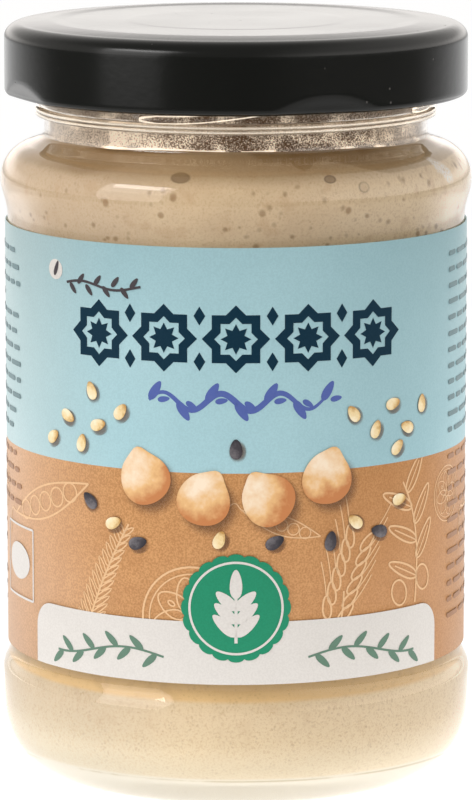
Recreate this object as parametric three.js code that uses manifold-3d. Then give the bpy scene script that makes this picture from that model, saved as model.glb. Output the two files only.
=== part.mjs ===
// A closed glass jar of hummus: clear jar, its filling, a wrapped paper label and a
// pressed metal twist-off lid. Millimetres, +Z up, base at z = 0, label front facing -Y.
import * as THREE from "three";
import { mergeVertices } from "three/addons/utils/BufferGeometryUtils.js";
import Module from "manifold-3d";

const SIDES = 56; // faces round every turned piece, alike so that neighbours nest
const FIT = 0.1; // clearance between neighbouring pieces

// Glass jar, outside
const HEEL_R = 30.85;
const HEEL_Z = 8.8; // where the heel's curve meets the lower bulge
const HEEL_TOP = 13.2;
const FOOT_R = 24.3; // outer edge of the ring that it stands on
const FOOT_INNER_R = 21.5;
const PUNT_DEPTH = 1.6; // hollow under the base
const PANEL_R = 29.9; // recessed band that carries the label
const PANEL_BOTTOM = 15.8;
const PANEL_TOP = 73.8;
const SHOULDER_R = 30.8;
const SHOULDER_Z = 78.2;
const SHOULDER_ROUND = 5;
const SHOULDER_TURN = 75; // degrees of the shoulder's arc before it flares to the neck
const NECK_R = 25;
const NECK_BOTTOM = 84.6;
const NECK_TOP = 86.2;
const BEAD_R = 26.2;
const BEAD_TOP = 87.7;
const FINISH_R = 25.6; // wall above the bead, which carries the thread
const FINISH_ROUND = 1.2;
const LIP_TOP = 97.75;
const LIP_ROUND = 1; // inner edge of the lip

// Glass jar, inside
const INNER_R = 28.1;
const INNER_NECK_R = 22.9;
const INNER_SHOULDER_R = 28.5;
const INNER_SHOULDER_Z = 77.8;
const INNER_SHOULDER_ROUND = 4.2;
const INNER_SHOULDER_TURN = 62; // degrees
const INNER_NECK_BOTTOM = 84.2;
const FLOOR_Z = 4.8; // glass left under the hummus
const FLOOR_CORNER = 5.5;

// Thread: short ridges, one for each lug of the lid
const THREADS = 4;
const THREAD_START = -22; // degrees from the front to the first ridge's low end
const THREAD_SPAN = 72;
const THREAD_PITCH = 10;
const THREAD_Z = 88.6;
const THREAD_ROUND = 0.9;
const THREAD_STANDS_OUT = 0.25; // from the wall to the middle of a ridge
const THREAD_STEPS = 12;

// Hummus
const FILL_Z = 84.9;
const FILL_SWELL = 0.45; // how far its top rises and falls

// Label
const LABEL_R = 30.2;
const LABEL_THICKNESS = 0.2;
const LABEL_BOTTOM = 16.9;
const LABEL_TOP = 72.7;
const LABEL_GAP_SIDES = 2; // faces left bare at the back, where its ends stop short

// Lid
const LID_R = 30.15;
const LID_BOTTOM = 89.1;
const LID_TOP = 98.7;
const LID_SHEET = 0.4;
const LID_EDGE_ROUND = 2.2;
const LID_STEP = 0.8; // how wide the steps of its pressed top are
const RIM_INNER_R = 23.6; // inner edge of the raised outer ring
const PANEL_DROP = 0.6;
const BUTTON_R = 15;
const BUTTON_RISE = 0.25;
const CURL_R = 0.75; // rolled edge at the bottom of the skirt
const SEAL_Z = 97.87; // underside of the soft sealing ring over the glass lip
const SEAL_INNER_R = 23.9;
const SEAL_OUTER_R = 26;
const LUGS = 4;
const LUG_FROM_FRONT = 22.7; // degrees
const LUG_HALF_WIDTH = 15; // degrees
const LUG_DEPTH = 0.5;
const SKIRT_RINGS = [90.9, 92, 93.2]; // heights that the dents bend
const LUG_TOP = 93.2;

const degrees = THREE.MathUtils.degToRad;

/** Points of an arc in the profile plane, with 0 degrees outward and 90 degrees up. */
function arc(r, z, radiusR, radiusZ, from, to, steps) {
  return Array.from({ length: steps + 1 }, (_, i) => {
    const angle = degrees(from + ((to - from) * i) / steps);
    return [r + radiusR * Math.cos(angle), z + radiusZ * Math.sin(angle)];
  });
}

/** A turned body from a profile of [radius, height] pairs that runs counterclockwise. */
function turned(profile) {
  const points = profile.map(([r, z]) => new THREE.Vector2(r, z));
  return new THREE.LatheGeometry(points, SIDES).rotateX(Math.PI / 2);
}

/** Moves each point of a geometry by shift(point), in place. */
function reshaped(geometry, shift) {
  const position = geometry.getAttribute("position");
  const point = new THREE.Vector3();
  for (let i = 0; i < position.count; i++) {
    point.fromBufferAttribute(position, i);
    shift(point);
    position.setXYZ(i, point.x, point.y, point.z);
  }
  return geometry;
}

/** The inside of the glass from the base's centre up to the neck, drawn in by a clearance. */
function cavity(clearance, top) {
  const wall = INNER_R - clearance;
  const corner = FLOOR_CORNER - clearance;
  const floor = FLOOR_Z + clearance;
  const shoulder = INNER_SHOULDER_R - clearance;
  const round = INNER_SHOULDER_ROUND;
  const neck = INNER_NECK_R - clearance;
  return [
    [0, floor],
    ...arc(wall - corner, floor + corner, corner, corner, -90, 0, 5),
    [wall, PANEL_TOP - 0.8],
    [shoulder - 0.12, PANEL_TOP + 1.8],
    ...arc(shoulder - round, INNER_SHOULDER_Z, round, round, 0, INNER_SHOULDER_TURN, 4),
    [neck + 0.4, INNER_NECK_BOTTOM - clearance - 0.7],
    [neck, INNER_NECK_BOTTOM],
    [neck, top],
  ];
}

/** The outside of the glass from the base's centre up to the top of the lip. */
function outside() {
  const heelRound = HEEL_R - FOOT_R;
  const shoulderCentre = SHOULDER_R - SHOULDER_ROUND;
  const finishTop = LIP_TOP - FINISH_ROUND;
  return [
    [0, PUNT_DEPTH],
    [FOOT_INNER_R - 2.5, 0.8 * PUNT_DEPTH],
    [FOOT_INNER_R, 0],
    ...arc(FOOT_R, HEEL_Z, heelRound, HEEL_Z, -90, 0, 7),
    [HEEL_R, HEEL_TOP],
    [HEEL_R - 0.25, HEEL_TOP + 1.1],
    [PANEL_R + 0.2, PANEL_BOTTOM - 0.5],
    [PANEL_R, PANEL_BOTTOM],
    [PANEL_R, PANEL_TOP],
    [PANEL_R + 0.45, PANEL_TOP + 0.8],
    [SHOULDER_R - 0.2, PANEL_TOP + 2.4],
    ...arc(shoulderCentre, SHOULDER_Z, SHOULDER_ROUND, SHOULDER_ROUND, 0, SHOULDER_TURN, 6),
    [NECK_R + 1, NECK_BOTTOM - 1.1],
    [NECK_R + 0.25, NECK_BOTTOM - 0.5],
    [NECK_R, NECK_BOTTOM],
    [NECK_R, NECK_TOP],
    [BEAD_R - 0.3, NECK_TOP + 0.25],
    [BEAD_R, NECK_TOP + 0.6],
    [BEAD_R, BEAD_TOP - 0.45],
    [BEAD_R - 0.25, BEAD_TOP - 0.1],
    [FINISH_R, BEAD_TOP + 0.1],
    ...arc(FINISH_R - FINISH_ROUND, finishTop, FINISH_ROUND, FINISH_ROUND, 0, 90, 3),
  ];
}

/** A short right-handed ridge of the thread. */
class RidgeLine extends THREE.Curve {
  constructor(start) {
    super();
    this.start = start;
  }

  getPoint(t, target = new THREE.Vector3()) {
    const angle = degrees(this.start + THREAD_SPAN * t);
    const rise = (THREAD_PITCH * THREAD_SPAN * t) / 360;
    const r = FINISH_R + THREAD_STANDS_OUT;
    return target.set(r * Math.sin(angle), -r * Math.cos(angle), THREAD_Z + rise);
  }
}

function ridge(start) {
  const section = new THREE.Shape();
  section.absarc(0, 0, THREAD_ROUND, 0, 2 * Math.PI);
  return new THREE.ExtrudeGeometry(section, {
    steps: THREAD_STEPS,
    curveSegments: 4,
    extrudePath: new RidgeLine(start),
  });
}

const wasm = await Module();
wasm.setup();

/** A geometry as a solid that can be joined and cut. */
function solid(geometry) {
  const bare = geometry.clone().deleteAttribute("normal").deleteAttribute("uv");
  const merged = mergeVertices(bare.index ? bare.toNonIndexed() : bare, 1e-4);
  const kept = [];
  const index = merged.index.array;
  for (let i = 0; i < index.length; i += 3) {
    const [a, b, c] = index.slice(i, i + 3);
    if (a !== b && b !== c && c !== a) kept.push(a, b, c);
  }
  return new wasm.Manifold(
    new wasm.Mesh({
      numProp: 3,
      vertProperties: Float32Array.from(merged.getAttribute("position").array),
      triVerts: Uint32Array.from(kept),
    }),
  );
}

function asGeometry(body) {
  const mesh = body.getMesh();
  const geometry = new THREE.BufferGeometry();
  geometry.setAttribute("position", new THREE.BufferAttribute(mesh.vertProperties, 3));
  geometry.setIndex(new THREE.BufferAttribute(mesh.triVerts, 1));
  geometry.computeVertexNormals();
  return geometry;
}

function glassJar() {
  const lipR = INNER_NECK_R + LIP_ROUND;
  const lip = arc(lipR, LIP_TOP - LIP_ROUND, LIP_ROUND, LIP_ROUND, 90, 180, 3);
  const inside = cavity(0, LIP_TOP - 2 * LIP_ROUND).reverse();
  let glass = solid(turned([...outside(), ...lip, ...inside]));
  for (let i = 0; i < THREADS; i++) {
    glass = glass.add(solid(ridge(THREAD_START + (360 / THREADS) * i)));
  }
  return asGeometry(glass);
}

function hummus() {
  const top = [18, 13, 8, 3].map((r) => [r, FILL_Z]);
  const filling = turned([...cavity(FIT, FILL_Z), ...top, [0, FILL_Z]]);
  return reshaped(filling, (point) => {
    if (point.z < FILL_Z - 0.2) return;
    const swirl = Math.sin(0.21 * point.x + 0.6) * Math.cos(0.17 * point.y - 0.4);
    point.z += FILL_SWELL * swirl;
  });
}

function label() {
  const half = SIDES / 2 - LABEL_GAP_SIDES / 2;
  const at = (r, i) => {
    const angle = (2 * Math.PI * i) / SIDES;
    return new THREE.Vector2(r * Math.sin(angle), -r * Math.cos(angle));
  };
  const outline = [];
  for (let i = -half; i <= half; i++) outline.push(at(LABEL_R, i));
  for (let i = half; i >= -half; i--) outline.push(at(LABEL_R - LABEL_THICKNESS, i));
  const paper = new THREE.ExtrudeGeometry(new THREE.Shape(outline), {
    depth: LABEL_TOP - LABEL_BOTTOM,
    bevelEnabled: false,
  });
  return paper.translate(0, 0, LABEL_BOTTOM);
}

/** How deep a lug's dent is at an angle from the front, in degrees, and a height. */
function lugDent(angle, z) {
  const step = 360 / LUGS;
  const away = THREE.MathUtils.euclideanModulo(angle - LUG_FROM_FRONT + step / 2, step) - step / 2;
  const across = Math.max(0, 1 - (away / LUG_HALF_WIDTH) ** 2);
  const height = (z - LID_BOTTOM) / (LUG_TOP - LID_BOTTOM);
  const up = Math.max(0, 1 - height / Math.max(across, 0.01));
  return LUG_DEPTH * Math.sqrt(across * up);
}

function lid() {
  const roundZ = LID_TOP - LID_EDGE_ROUND;
  const roundR = LID_R - LID_EDGE_ROUND;
  const inner = LID_R - LID_SHEET;
  const under = LID_TOP - LID_SHEET;
  const panelZ = LID_TOP - PANEL_DROP;
  const panelR = RIM_INNER_R - LID_STEP;
  const buttonZ = panelZ + BUTTON_RISE;
  const curlR = LID_R - CURL_R;
  const curlZ = LID_BOTTOM + CURL_R;
  const profile = [
    [0, buttonZ - LID_SHEET],
    [BUTTON_R - LID_STEP / 2, buttonZ - LID_SHEET],
    [BUTTON_R + LID_STEP / 4, panelZ - LID_SHEET],
    [panelR - LID_STEP / 4, panelZ - LID_SHEET],
    [SEAL_INNER_R - 0.5, SEAL_Z],
    [SEAL_OUTER_R, SEAL_Z],
    [SEAL_OUTER_R + LID_STEP, under],
    [roundR, under],
    ...arc(roundR, roundZ, inner - roundR, under - roundZ, 60, 0, 2),
    ...SKIRT_RINGS.toReversed().map((z) => [inner, z]),
    ...arc(curlR, curlZ, CURL_R, CURL_R, 90, 360, 6),
    ...SKIRT_RINGS.map((z) => [LID_R, z]),
    ...arc(roundR, roundZ, LID_EDGE_ROUND, LID_EDGE_ROUND, 0, 90, 5),
    [RIM_INNER_R, LID_TOP - 0.15],
    [panelR, panelZ],
    [BUTTON_R + LID_STEP / 2, panelZ],
    [BUTTON_R - LID_STEP / 4, buttonZ],
    [0, buttonZ],
  ];
  return reshaped(turned(profile), (point) => {
    const radius = Math.hypot(point.x, point.y);
    if (radius < inner - 2 * CURL_R || point.z > LUG_TOP) return;
    const angle = THREE.MathUtils.radToDeg(Math.atan2(point.x, -point.y));
    const scale = 1 - lugDent(angle, point.z) / radius;
    point.x *= scale;
    point.y *= scale;
  });
}

function piece(name, geometry, finish) {
  const mesh = new THREE.Mesh(geometry, new THREE.MeshStandardMaterial(finish));
  mesh.name = name;
  return mesh;
}

const hummusJar = new THREE.Group();
hummusJar.add(
  piece("glass_jar", glassJar(), {
    color: 0xe8eeea,
    roughness: 0.05,
    metalness: 0,
    transparent: true,
    opacity: 0.35,
  }),
  piece("hummus", hummus(), { color: 0xd8bf9b, roughness: 0.6, metalness: 0 }),
  piece("label", label(), { color: 0xb4d6df, roughness: 0.6, metalness: 0 }),
  piece("screw_lid", lid(), { color: 0x232423, roughness: 0.35, metalness: 0.1 }),
);

export default hummusJar;
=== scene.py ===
import random
from math import atan2, ceil, copysign, cos, exp, hypot, pi, radians, sin, sqrt, tau

import bmesh
import bpy
from mathutils import Matrix, Vector, noise


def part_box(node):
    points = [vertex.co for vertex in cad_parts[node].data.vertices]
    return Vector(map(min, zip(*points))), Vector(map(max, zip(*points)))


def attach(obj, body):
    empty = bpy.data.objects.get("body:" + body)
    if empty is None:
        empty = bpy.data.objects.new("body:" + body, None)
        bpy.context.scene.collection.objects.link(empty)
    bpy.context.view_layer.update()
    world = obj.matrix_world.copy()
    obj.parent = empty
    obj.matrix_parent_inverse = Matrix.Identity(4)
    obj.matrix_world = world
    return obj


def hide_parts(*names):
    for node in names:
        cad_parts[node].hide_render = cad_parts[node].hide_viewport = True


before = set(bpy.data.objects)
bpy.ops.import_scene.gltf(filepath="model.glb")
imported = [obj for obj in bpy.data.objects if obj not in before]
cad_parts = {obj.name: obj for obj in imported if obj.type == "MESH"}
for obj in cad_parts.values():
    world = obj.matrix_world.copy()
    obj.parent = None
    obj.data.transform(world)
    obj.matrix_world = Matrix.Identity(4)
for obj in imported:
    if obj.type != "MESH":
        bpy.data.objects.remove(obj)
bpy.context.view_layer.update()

# The jar is clear soda-lime glass, pressed and blown in a mould. It bulges at the heel and the
# shoulder to guard the label between them, stands on a narrow ring round a hollow, and ends in a
# bead and a finish with short thread ridges. Its inside is less even than its outside.
_, jar_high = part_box("glass_jar")
HEEL_R = jar_high.x
HEEL_Z = 0.0088
HEEL_TOP = 0.0132
FOOT_R = 0.0243
FOOT_INNER_R = 0.0215
PUNT_R = 0.0185
PUNT_DEPTH = 0.0016
PUNT_EDGE = PUNT_DEPTH * 0.8
PANEL_R = 0.0299
PANEL_BOTTOM = 0.0158
PANEL_TOP = 0.0738
PANEL_EASE_LOW = 0.0003
PANEL_EASE_HIGH = 0.0005
SHOULDER_R = 0.0308
SHOULDER_Z = 0.0782
SHOULDER_ROUND = 0.0052
SHOULDER_RISE = 0.00475
NECK_R = 0.025
NECK_CORNER = 0.0013
NECK_EDGE = 0.0002
NECK_BOTTOM = 0.0846
NECK_TOP = 0.0862
BEAD_R = 0.0262
BEAD_TOP = 0.08752
BEAD_RIBS = [0.08679, 0.08733]
RIB_ROUND = 0.0007
RIB_CAP = 0.0002
# Painted glints: lines that glow on the bead's ribs and along the thread ridges stand in for
# highlights.
RIB_GLINT = 0.3
FINISH_R = 0.0256
FINISH_HIGH = 0.0046
LIP_TOP = jar_high.z
LIP_ROUND = 0.0011
INNER_R = 0.0281
INNER_NECK_R = 0.0229
INNER_SHOULDER_R = 0.0285
INNER_SHOULDER_Z = 0.0778
INNER_SHOULDER_ROUND = 0.0042
INNER_NECK_BOTTOM = 0.08485
INNER_NECK_ROUND = 0.0022
FLOOR_Z = 0.004
FLOOR_CORNER = 0.0042
THREADS = 4
THREAD_START = radians(-28.5)
THREAD_SPAN = radians(62)
THREAD_RISE = 0.0036
THREAD_Z = 0.08797
THREAD_ROUND = 0.00046
THREAD_PROUD = 0.00022
THREAD_EDGE = 0.0001
THREAD_NOSE = 0.1
THREAD_BEND = 0.28
THREAD_EASE = 0.13
THREAD_TAPER = 0.035
THREAD_FADE = (1.0, 1.05)
THREAD_FOOT_Z = BEAD_TOP - 0.0005
THREAD_HEAD_Z = BEAD_TOP + 0.005
JAR_SIDES = 256
INNER_WAVE = 0.00007
WAVE_SCALE = 90
WAVE_SQUASH = 0.6
WAVE_FROM_R = INNER_R - 0.006
WAVE_TO_R = INNER_SHOULDER_R + 0.0002
WAVE_FROM_Z = FLOOR_Z + 0.002
CLEAR_TINT = (0.95, 0.945, 0.93, 1)
THICK_BAND = (0.0785, 0.081, 0.0836, 0.0843)
THICK_TINT = (0.92, 0.9, 0.875, 1)
# The bead's glass is tinted cream to warm the painted lines of light on it.
BEAD_GLINT_TINT = (1.0, 0.94, 0.84, 1)
THROUGH_TINT = (0.95, 0.97, 0.96, 1)
THREAD_GLINT = 0.9
BLACK = (0, 0, 0, 1)
HAIR = 1e-5


def arc(r, z, across, up, start, stop, steps):
    """Points of an arc in a profile, in degrees with 0 outward and 90 up."""
    angles = [radians(start + (stop - start) * i / steps) for i in range(steps + 1)]
    return [(r + across * cos(a), z + up * sin(a)) for a in angles]


def ease(start, stop, steps):
    """Points of a soft S from one place of a profile to another, with both ends."""
    across, up = stop[0] - start[0], stop[1] - start[1]
    upright = abs(up) > abs(across)
    points = []
    for i in range(steps + 1):
        t = i / steps
        share = t * t * (3 - 2 * t)
        side, rise = (share, t) if upright else (t, share)
        points.append((start[0] + across * side, start[1] + up * rise))
    return points


def straight(start, stop, steps):
    """Points along a straight stretch of a profile, with both ends left out."""
    return [
        (start[0] + (stop[0] - start[0]) * i / steps, start[1] + (stop[1] - start[1]) * i / steps)
        for i in range(1, steps)
    ]


def cavity(press, rings):
    """The inside of the glass up to the neck, from its floor's centre, pressed into the wall."""
    wall, corner = INNER_R + press, FLOOR_CORNER
    floor = FLOOR_Z - press
    shoulder, neck = INNER_SHOULDER_R + press, INNER_NECK_R + press
    turn, bend = INNER_SHOULDER_ROUND, INNER_NECK_ROUND
    low = (wall, floor + corner)
    high = (wall, PANEL_TOP - 0.004)
    return [
        (0, floor),
        *straight((0, floor), (wall - corner, floor), 8),
        *arc(wall - corner, floor + corner, corner, corner, -90, 0, 12),
        *straight(low, high, rings),
        *ease(high, (shoulder, INNER_SHOULDER_Z), 14),
        *arc(shoulder - turn, INNER_SHOULDER_Z, turn, turn, 0, 58, 16),
        *arc(neck + bend, INNER_NECK_BOTTOM, bend, bend, 238, 180, 10),
    ]


def bearing(place):
    """A place's angle round the jar, from the front towards the right."""
    return atan2(place.x, -place.y)


def spun(profile, sides):
    """A body turned about the jar's axis from a profile of radius and height."""
    bm = bmesh.new()
    points = [bm.verts.new((r, 0, z)) for r, z in profile]
    lines = [bm.edges.new(pair) for pair in zip(points, points[1:])]
    bmesh.ops.spin(
        bm, geom=points + lines, cent=(0, 0, 0), axis=(0, 0, 1), angle=tau, steps=sides,
        use_merge=True, use_duplicate=False,
    )
    bmesh.ops.remove_doubles(bm, verts=bm.verts, dist=1e-6)
    bmesh.ops.recalc_face_normals(bm, faces=bm.faces)
    return bm


def shown(name, data):
    """A new object in the scene for a mesh, a lamp or a camera."""
    made = bpy.data.objects.new(name, data)
    bpy.context.scene.collection.objects.link(made)
    return made


def shaped(bm, name, finishes):
    """Makes the bmesh a smooth object with its finishes."""
    mesh = bpy.data.meshes.new(name)
    bm.to_mesh(mesh)
    bm.free()
    for finish in finishes:
        mesh.materials.append(finish)
    mesh.polygons.foreach_set("use_smooth", [True] * len(mesh.polygons))
    return shown(name, mesh)


def placed(bm, name, finishes, stands_for=None):
    """Makes the bmesh a piece of the jar and the node that it stands for."""
    piece = shaped(bm, name, finishes)
    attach(piece, "root")
    if stands_for:
        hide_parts(stands_for)


class Wire:
    """A socket in a finish's nodes. Python sums on it add Math nodes, so masks read as sums."""

    def __init__(self, tree, socket=None, finish=None):
        self.tree = tree
        self.socket = socket
        self.finish = finish

    def node(self, kind, settings=None, output=0, **values):
        """Adds a node of a kind, with its settings and its sockets' values or links by name."""
        made = self.tree.nodes.new("ShaderNode" + kind)
        for name, value in (settings or {}).items():
            setattr(made, name, value)
        for name, value in values.items():
            self.feed(made, name, value)
        return Wire(self.tree, made.outputs[output])

    def feed(self, made, name, value):
        """Links or sets one socket, named as in Blender with spaces as underscores, or A0, A1."""
        if name[0] == "A" and name[1:].isdigit():
            socket = made.inputs[int(name[1:])]
        else:
            socket = made.inputs[name.replace("_", " ")]
        if isinstance(value, Wire):
            self.tree.links.new(value.socket, socket)
        else:
            socket.default_value = value

    def numbered(self, values):
        """The names A0, A1 and on for a node's sockets in order."""
        return {f"A{i}": value for i, value in enumerate(values)}

    def maths(self, operation, *values):
        """Adds a Math node with its numbers or links in order."""
        return self.node("Math", {"operation": operation}, **self.numbered(values))

    def __add__(self, other):
        return self.maths("ADD", self, other)

    __radd__ = __add__

    def __sub__(self, other):
        return self.maths("SUBTRACT", self, other)

    def __rsub__(self, other):
        return self.maths("SUBTRACT", other, self)

    def __mul__(self, other):
        return self.maths("MULTIPLY", self, other)

    __rmul__ = __mul__

    def __truediv__(self, other):
        return self.maths("DIVIDE", self, other)

    def __pow__(self, other):
        return self.maths("POWER", self, other)

    def __abs__(self):
        return self.maths("ABSOLUTE", self)

    def here(self):
        """Each point's place on the jar."""
        return self.node("TexCoord", output=3)

    def flat(self):
        """Each point's place on its own patch of ink, before it is wrapped."""
        return self.node("TexCoord", output=2)

    def parts(self):
        """The three numbers of a place."""
        split = self.node("SeparateXYZ", Vector=self).socket.node
        return [Wire(self.tree, output) for output in split.outputs]

    def measured(self, operation, *other):
        """One number from this vector, and from another one where the operation takes two."""
        values = self.numbered((self, *other))
        return self.node("VectorMath", {"operation": operation}, output=1, **values)

    def grain(self, scale, detail, roughness=0.5):
        """Soft noise at this place."""
        return self.node(
            "TexNoise", Vector=self, Scale=scale, Detail=detail, Roughness=roughness
        )

    def cells(self, scale):
        """How far this place is from the nearest of scattered points."""
        return self.node("TexVoronoi", Vector=self, Scale=scale, Randomness=1)

    def relief(self, strength, distance):
        """A bumped normal, with this as its height."""
        return self.node("Bump", Height=self, Strength=strength, Distance=distance)

    def between(self, low, high):
        """A smooth step from 0 at low to 1 at high."""
        return self.node(
            "MapRange", {"interpolation_type": "SMOOTHSTEP"},
            Value=self, From_Min=low, From_Max=high,
        )

    def until(self, low, high):
        """A smooth step from 1 at low to 0 at high."""
        return 1 - self.between(low, high)

    def band(self, start, full, fade, end):
        """A smooth step up from start to full, and down again from fade to end."""
        return self.between(start, full) * self.until(fade, end)

    def tint(self, first, second):
        """The first colour where this mask is 0 and the second where it is 1."""
        return self.node(
            "Mix", {"data_type": "RGBA"}, output=2, Factor=self, A6=first, A7=second
        )


def colour(red, green, blue):
    """A colour as a picture states it, from 0 to 255, for a shader's socket."""
    def plain(value):
        value /= 255
        return value / 12.92 if value <= 0.04045 else ((value + 0.055) / 1.055) ** 2.4

    return (plain(red), plain(green), plain(blue), 1)


def new_finish(name):
    """A wire to build the nodes of an empty material from."""
    finish = bpy.data.materials.new(name)
    finish.use_nodes = True
    finish.node_tree.nodes.clear()
    return Wire(finish.node_tree, finish=finish)


def closed(wire, shader):
    """Ends the wire's material with its shader."""
    output = wire.tree.nodes.new("ShaderNodeOutputMaterial")
    wire.tree.links.new(shader.socket, output.inputs["Surface"])
    return wire.finish


def coated(wire, base, roughness, **values):
    """Ends the wire's material with a plain surface."""
    return closed(wire, wire.node(
        "BsdfPrincipled", Base_Color=base, Roughness=roughness, **values
    ))


def clear_glass():
    """Clear glass that lets the lamps' light through, a little warm where it is thick, with painted
    glints: lines that glow on the bead's ribs and the thread ridges, over a cream tint on the bead.
    """
    wire = new_finish("clear_glass")
    place = wire.here()
    east, north, height = place.parts()
    base = height.band(*THICK_BAND).tint(CLEAR_TINT, THICK_TINT)
    # The bead is tinted cream, which warms its painted lines of light.
    bead = height.band(NECK_TOP, NECK_TOP + 0.0002, BEAD_TOP, BEAD_TOP + 0.0002)
    base = bead.tint(base, BEAD_GLINT_TINT)
    # Painted highlights: lines that glow along the edges of each thread ridge above the bead, and
    # along each rib of the bead.
    around = wire.maths("ARCTAN2", east, 0 - north) - THREAD_START
    turned = wire.maths("WRAP", around, tau / THREADS, 0.0)
    bend = turned - THREAD_BEND
    climb = ((bend * bend + THREAD_EASE ** 2) ** 0.5 + bend) * (THREAD_RISE / 2)
    above = abs(height - climb - THREAD_Z)
    nose = wire.maths("MINIMUM", turned / THREAD_NOSE, 1.0)
    off = abs(above - nose ** 0.5 * THREAD_ROUND) / (2.2 - nose * 1.2)
    lit = off.until(THREAD_EDGE * 0.3, THREAD_EDGE * 1.2) * turned.until(*THREAD_FADE)
    glint = lit * height.between(BEAD_TOP, BEAD_TOP + 0.0001) * THREAD_GLINT
    for rib in BEAD_RIBS:
        off_rib = abs(height - rib)
        glint = glint + off_rib.until(RIB_CAP * 0.2, RIB_CAP * 0.65) * RIB_GLINT
    glint = glint.tint(BLACK, colour(255, 240, 218))
    glass = wire.node(
        "BsdfPrincipled", Base_Color=base, Roughness=0.0, IOR=1.5,
        Transmission_Weight=1.0, Normal=place.grain(70, 1).relief(0.12, 0.002),
        Emission_Color=glint, Emission_Strength=1.0,
    )
    through = wire.node("BsdfTransparent", Color=THROUGH_TINT)
    lamp_ray = wire.node("LightPath", output=1)
    return closed(wire, wire.node("MixShader", A0=lamp_ray, A1=glass, A2=through))


def ridge_height(angle, z):
    """How far a thread ridge stands out of the finish at an angle from the front."""
    turned = (angle - THREAD_START) % (tau / THREADS)
    if turned > THREAD_SPAN:
        return 0
    bend = turned - THREAD_BEND
    climb = THREAD_RISE * (hypot(bend, THREAD_EASE) + bend) / 2
    off = (z - THREAD_Z - climb) / THREAD_ROUND
    end = min(turned, THREAD_SPAN - turned) / THREAD_TAPER
    return THREAD_PROUD * (1 - min(1, off * off)) * min(1, end) ** 0.5


outside = [
    (0, PUNT_DEPTH),
    *straight((0, PUNT_DEPTH), (PUNT_R, PUNT_EDGE), 6),
    *ease((PUNT_R, PUNT_EDGE), (FOOT_INNER_R, 0), 6),
    *arc(FOOT_R, HEEL_Z, HEEL_R - FOOT_R, HEEL_Z, -90, 0, 22),
    *straight((HEEL_R, HEEL_Z), (HEEL_R, HEEL_TOP), 5),
    *ease((HEEL_R, HEEL_TOP), (PANEL_R, PANEL_BOTTOM + PANEL_EASE_LOW), 10),
    *straight((PANEL_R, PANEL_BOTTOM), (PANEL_R, PANEL_TOP - PANEL_EASE_HIGH), 20),
    *ease((PANEL_R, PANEL_TOP - PANEL_EASE_HIGH), (SHOULDER_R, SHOULDER_Z), 18),
    *arc(SHOULDER_R - SHOULDER_ROUND, SHOULDER_Z, SHOULDER_ROUND, SHOULDER_RISE, 0, 75, 24),
    *arc(NECK_R + NECK_CORNER, NECK_BOTTOM - 0.0001, NECK_CORNER, NECK_CORNER, 245, 180, 10),
    *straight((NECK_R, NECK_BOTTOM), (NECK_R, NECK_TOP), 8),
    *arc(NECK_R + NECK_EDGE, NECK_TOP, NECK_EDGE, NECK_EDGE * 0.9, 180, 90, 5),
]
for z in BEAD_RIBS:
    outside += arc(BEAD_R - RIB_ROUND, z, RIB_ROUND, RIB_ROUND, -32, 0, 10)
    outside += arc(BEAD_R - RIB_CAP, z, RIB_CAP, RIB_CAP * 0.8, 10, 80, 6)
outside += [
    *straight((FINISH_R, BEAD_TOP), (FINISH_R, BEAD_TOP + FINISH_HIGH), 46),
    *arc(FINISH_R - LIP_ROUND, LIP_TOP - LIP_ROUND, LIP_ROUND, LIP_ROUND, 0, 90, 8),
    *arc(INNER_NECK_R + LIP_ROUND, LIP_TOP - LIP_ROUND, LIP_ROUND, LIP_ROUND, 90, 180, 8),
]
glass_body = spun(outside + list(reversed(cavity(0, 24))), JAR_SIDES)
for point in glass_body.verts:
    radius = point.co.xy.length
    if radius > FINISH_R - HAIR and THREAD_FOOT_Z < point.co.z < THREAD_HEAD_Z:
        proud = FINISH_R + ridge_height(bearing(point.co), point.co.z)
        point.co.xy *= max(radius, proud) / radius
    if WAVE_FROM_R < radius < WAVE_TO_R and point.co.z > WAVE_FROM_Z:
        squashed = Vector((point.co.x, point.co.y, point.co.z * WAVE_SQUASH))
        point.co.xy *= 1 + INNER_WAVE * noise.noise(squashed * WAVE_SCALE) / radius
placed(glass_body, "jar", [clear_glass()], "glass_jar")

# The hummus is a thick paste of chickpeas and sesame, poured warm, so it lies against the glass but
# for a few small bubbles. It reaches just into the wall of the jar, so that no film of air shows
# between them, and its top at the neck is uneven.
PRESS = 0.00015
FILL_Z = 0.0839
FILL_WAVE = 0.000288
FILL_WAVE_SCALE = 2.6
FILL_LUMP = 0.0008
FILL_LUMP_SCALE = 160
FILL_SAG = 0.0009
FILL_FOOT = 0.0828
HUMMUS_SIDES = 320
# Where light and shade are painted on the paste: paler to the right, hazed to the left, shaded
# under the label's foot and along the bottom corner, and a shadow line under the top.
PAINTED_LIGHT_SIDE = (0.2, 0.85, 1.8, 2.5)
PAINTED_HAZE_SIDE = (-2.5, -1.8, -0.75, -0.1)
LABEL_SHADE_BAND = (0.0135, 0.0143, 0.02, 0.021)
SPOT_BAND = (0.03, 0.06, 0.0795, 0.0805)
CORNER_SHADE_BAND = (0.00405, 0.00412, 0.0042, 0.0043)
# The foot of the ring of oil and painted shade under the neck: its height, its fall to the sides
# and a notch on the right.
RING_Z = 0.0823
RING_FALL = 0.0019
RING_NOTCH = 0.0011
RING_NOTCH_ANGLE = 0.325
LEVEL_SHADOW_SIDE = (-0.9, -0.8, -0.4, -0.1)
LEVEL_SHADOW_BAND = (-0.0008, -0.0003, -0.0001, 0.0001)
# Each bubble gives its angle in degrees, its height, half its width, half its height and how
# strongly its painted shade is laid on.
BUBBLES = [
    (-14.3, 0.0806, 0.00125, 0.0005, 0.8), (24.5, 0.0803, 0.00085, 0.0004, 0.7),
    (33.5, 0.0793, 0.0008, 0.00055, 0.1),
]
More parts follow.
